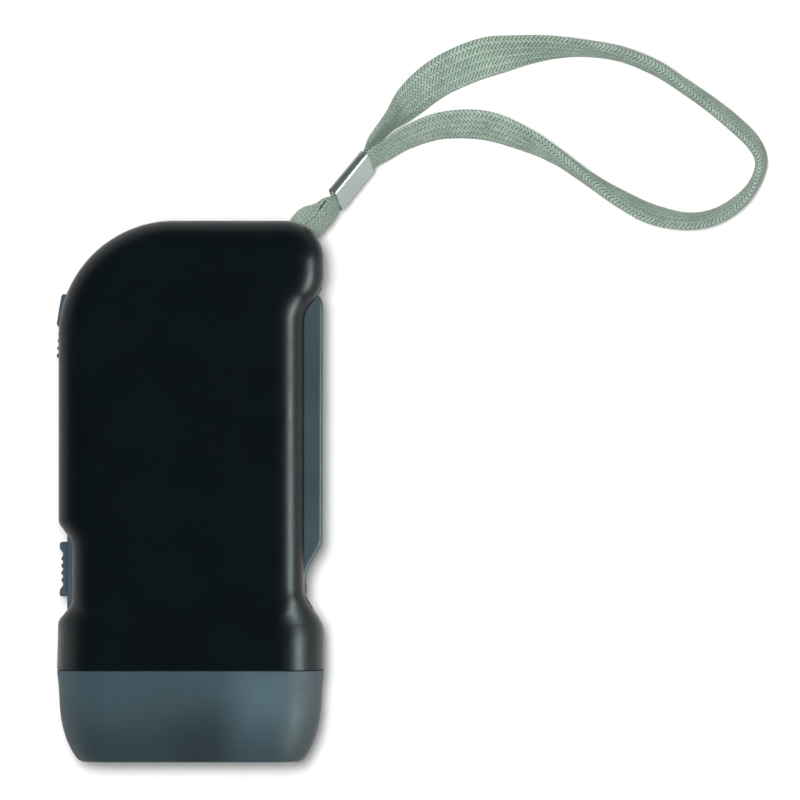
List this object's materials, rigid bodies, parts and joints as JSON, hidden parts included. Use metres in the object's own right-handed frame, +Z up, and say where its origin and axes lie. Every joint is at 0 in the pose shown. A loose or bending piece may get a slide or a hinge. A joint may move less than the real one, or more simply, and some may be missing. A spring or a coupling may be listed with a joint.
{
  "type": "hand press dynamo flashlight",
  "caption": "Flat pocket flashlight charged by pressing a side lever, which turns a geared flywheel generator; sliding lock and switch, twin lamps, wrist strap.",
  "frame": {"origin": "centre of the footprint of the housing and head, on the table, with the flashlight lying on its side; the strap isn't counted", "axes": "+Y from the head to the tail, +X across to the lever's side, +Z up from the table"},
  "size_m": [0.1388, 0.1418, 0.031],
  "materials": {
    "black_shell": "satin black moulding",
    "smoke_head": "glossy smoke grey moulding",
    "grey_slider": "matt blue grey moulding",
    "grey_lever": "satin slate grey moulding",
    "white_nylon": "natural nylon",
    "clear_lens": "clear acrylic",
    "chrome": "vacuum plated plastic",
    "steel": "drawn or pressed steel",
    "crimp_steel": "plated steel",
    "board_green": "green circuit board",
    "lamp_clear": "clear epoxy",
    "copper": "enamelled copper wire",
    "magnet": "dark ferrite",
    "cell_wrap": "green shrink wrap",
    "brass": "sprung brass",
    "red_lead": "red insulated lead",
    "black_lead": "black insulated lead",
    "strap_braid": "pale grey green braided nylon",
    "black_part": "matt black moulding"
  },
  "bodies": {
    "housing": {"upper_shell": "black_shell", "lower_shell": "black_shell", "head_cup": "smoke_head", "switch_plate": "grey_slider", "front_lens": "clear_lens", "reflector": "chrome", "lever_pivot_pin": "steel", "lever_spring": "steel", "clutch_axle": "steel", "idler_axle": "steel", "flywheel_axle": "steel", "stator_lower_plate": "steel", "stator_upper_plate": "steel", "cell_tab": "steel", "strap_pin": "steel", "shell_screw_1": "steel", "shell_screw_2": "steel", "shell_screw_3": "steel", "shell_screw_4": "steel", "shell_screw_5": "steel", "strap_crimp": "crimp_steel", "charge_board": "board_green", "lamp_board": "board_green", "lamp_left": "lamp_clear", "lamp_right": "lamp_clear", "stator_winding": "copper", "storage_cell": "cell_wrap", "cell_lead": "red_lead", "lamp_lead_red": "red_lead", "coil_lead_red": "red_lead", "lamp_lead_black": "black_lead", "coil_lead_black": "black_lead", "wrist_strap": "strap_braid", "stator_bobbin": "black_part", "switch_block": "black_part", "capacitor": "black_part"},
    "lever": {"press_lever": "grey_lever", "sector_gear": "white_nylon", "sector_pin_1": "steel", "sector_pin_2": "steel"},
    "drive": {"drive_pinion": "white_nylon"},
    "clutch": {"clutch_gear": "white_nylon"},
    "idler": {"idler_gear": "white_nylon"},
    "flywheel": {"flywheel_hub": "white_nylon", "flywheel_cup": "steel", "ring_magnet": "magnet"},
    "lock": {"lock_slider": "grey_slider", "lock_bolt": "white_nylon"},
    "switch": {"switch_slider": "grey_slider", "switch_carrier": "white_nylon", "switch_wiper": "brass"}
  },
  "joints": [
    {"name": "lever_hinge", "type": "hinge", "parent": "housing", "child": "lever", "pos_m": [0.0194, -0.0195, 0.0155], "axis": [0, 0, -1], "range_deg": [0, 24]},
    {"name": "drive_spin", "type": "hinge", "parent": "housing", "child": "drive", "pos_m": [0.00646, 0.0288, 0.0155], "axis": [0, 0, -1], "range_deg": [0, 324]},
    {"name": "clutch_spin", "type": "hinge", "parent": "housing", "child": "clutch", "pos_m": [0.00646, 0.0288, 0.0155], "axis": [0, 0, 1], "continuous": true},
    {"name": "idler_spin", "type": "hinge", "parent": "housing", "child": "idler", "pos_m": [-0.00203, 0.0183, 0.0155], "axis": [0, 0, 1], "continuous": true},
    {"name": "flywheel_spin", "type": "hinge", "parent": "housing", "child": "flywheel", "pos_m": [-0.002, 0.006, 0.0155], "axis": [0, 0, 1], "continuous": true},
    {"name": "lock_slide", "type": "slide", "parent": "housing", "child": "lock", "axis": [0.1188, 0.9929, 0], "range_m": [0, 0.0025]},
    {"name": "switch_slide", "type": "slide", "parent": "housing", "child": "switch", "axis": [0, -1, 0], "range_m": [0, 0.002]}
  ],
  "couplings": [
    {"joint": "drive_spin", "follows": "lever_hinge", "ratio": 13.5},
    {"joint": "idler_spin", "follows": "flywheel_spin", "ratio": -0.28125},
    {"joint": "clutch_spin", "follows": "flywheel_spin", "ratio": 0.070312}
  ]
}
